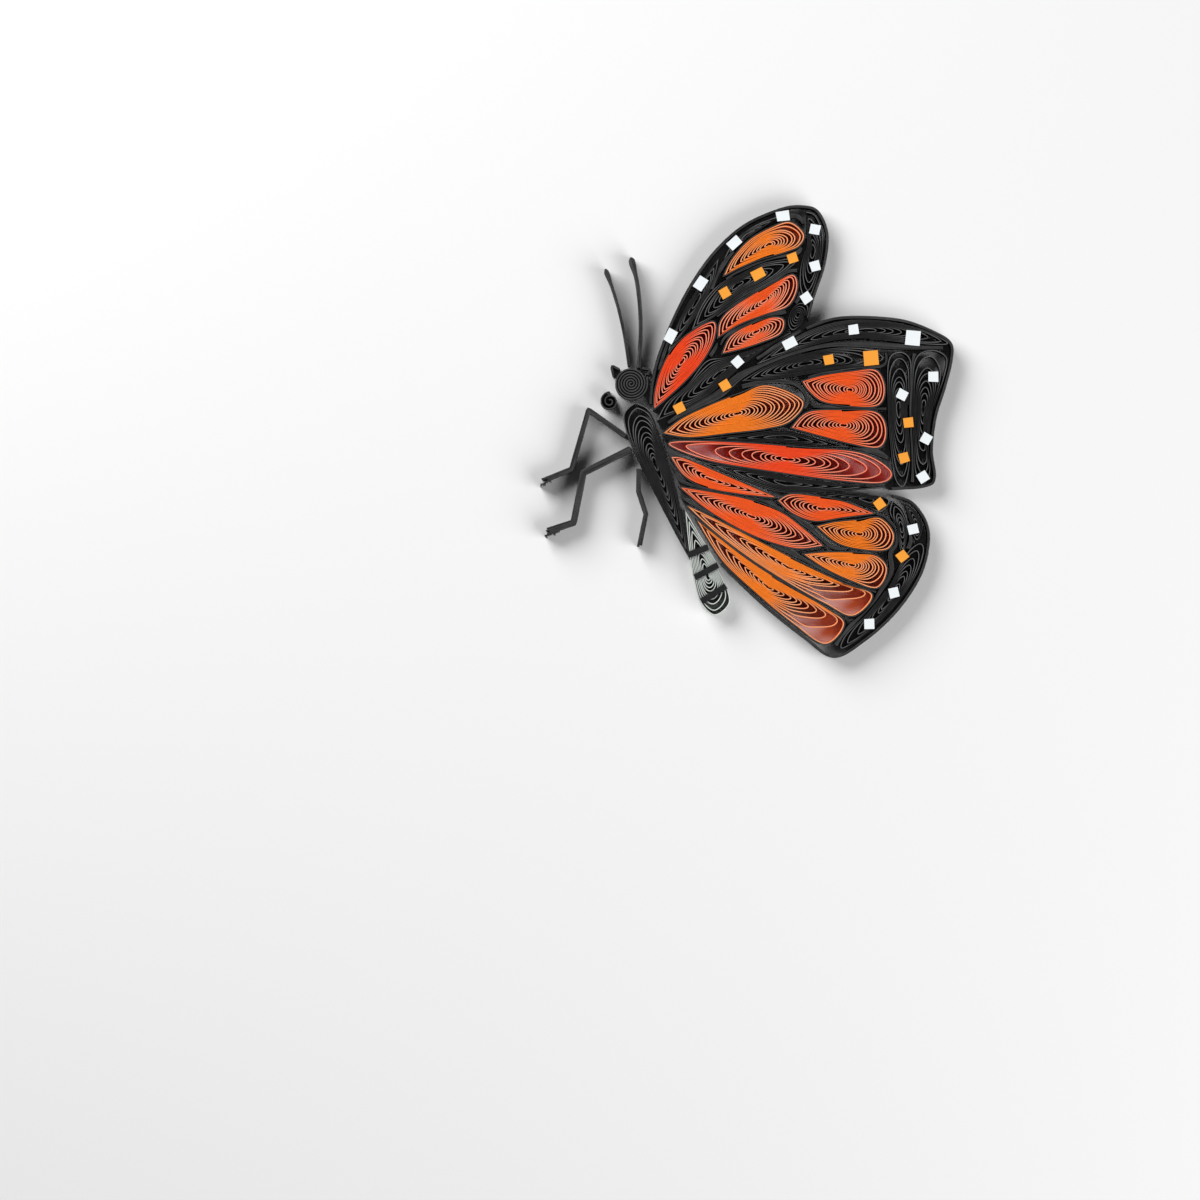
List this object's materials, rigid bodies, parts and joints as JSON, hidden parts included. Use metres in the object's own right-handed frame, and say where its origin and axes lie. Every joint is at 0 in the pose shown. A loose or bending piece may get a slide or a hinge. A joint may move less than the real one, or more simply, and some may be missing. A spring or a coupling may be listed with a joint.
{
  "type": "quilled paper butterfly",
  "caption": "Flat butterfly figure of coiled and pinched paper strips on edge, with black edging, paper squares, bent legs and antennae",
  "frame": {"origin": "middle of the underside that lies on the card", "axes": "+Z out of the flat face, +X from the legs to the outer corner of the near forewing, +Y from the hindwing to the far forewing"},
  "size_m": [0.0608, 0.0666, 0.0032],
  "materials": {
    "golden_orange_paper": "uncoated paper",
    "orange_paper": "uncoated paper",
    "red_orange_paper": "uncoated paper",
    "pale_grey_paper": "uncoated paper",
    "white_paper": "uncoated paper",
    "light_orange_paper": "uncoated paper",
    "black_paper": "uncoated paper"
  },
  "bodies": {
    "root": {"abdomen_band_1": "black_paper", "abdomen_band_2": "black_paper", "abdomen_band_3": "black_paper", "abdomen_coil": "pale_grey_paper", "face_palp": "black_paper", "far_brow_filler": "black_paper", "far_corner_filler": "black_paper", "far_forewing_edging": "black_paper", "far_forewing_gold_squares": "light_orange_paper", "far_forewing_packing_strips": "black_paper", "far_forewing_white_squares": "white_paper", "far_forewing_wrap_strips": "black_paper", "far_leading_filler": "black_paper", "far_lower_coil": "orange_paper", "far_lower_filler": "black_paper", "far_margin_filler": "black_paper", "far_middle_filler": "black_paper", "far_root_coil": "red_orange_paper", "far_tip_coil": "golden_orange_paper", "far_upper_coil": "orange_paper", "front_leg": "black_paper", "head_coil": "black_paper", "hind_inner_coil": "golden_orange_paper", "hind_large_coil": "orange_paper", "hind_leg": "black_paper", "hind_long_coil": "golden_orange_paper", "hind_lower_margin_filler": "black_paper", "hind_middle_coil": "golden_orange_paper", "hind_outer_coil": "golden_orange_paper", "hind_outer_margin_filler": "black_paper", "hind_thin_coil": "orange_paper", "hind_top_filler": "black_paper", "hind_upper_coil": "orange_paper", "hind_upper_margin_filler": "black_paper", "hindwing_edging": "black_paper", "hindwing_gold_squares": "light_orange_paper", "hindwing_packing_strips": "black_paper", "hindwing_white_squares": "white_paper", "hindwing_wrap_strips": "black_paper", "left_antenna": "black_paper", "middle_leg": "black_paper", "near_forewing_edging": "black_paper", "near_forewing_gold_squares": "light_orange_paper", "near_forewing_packing_strips": "black_paper", "near_forewing_white_squares": "white_paper", "near_forewing_wrap_strips": "black_paper", "near_inner_margin_filler": "black_paper", "near_large_coil": "golden_orange_paper", "near_leading_filler": "black_paper", "near_long_coil": "red_orange_paper", "near_lower_filler": "black_paper", "near_middle_coil": "orange_paper", "near_outer_margin_filler": "black_paper", "near_top_coil": "orange_paper", "near_upper_filler": "black_paper", "near_wedge_filler": "black_paper", "proboscis_scroll": "black_paper", "right_antenna": "black_paper", "thorax_coil": "black_paper"}
  },
  "joints": []
}
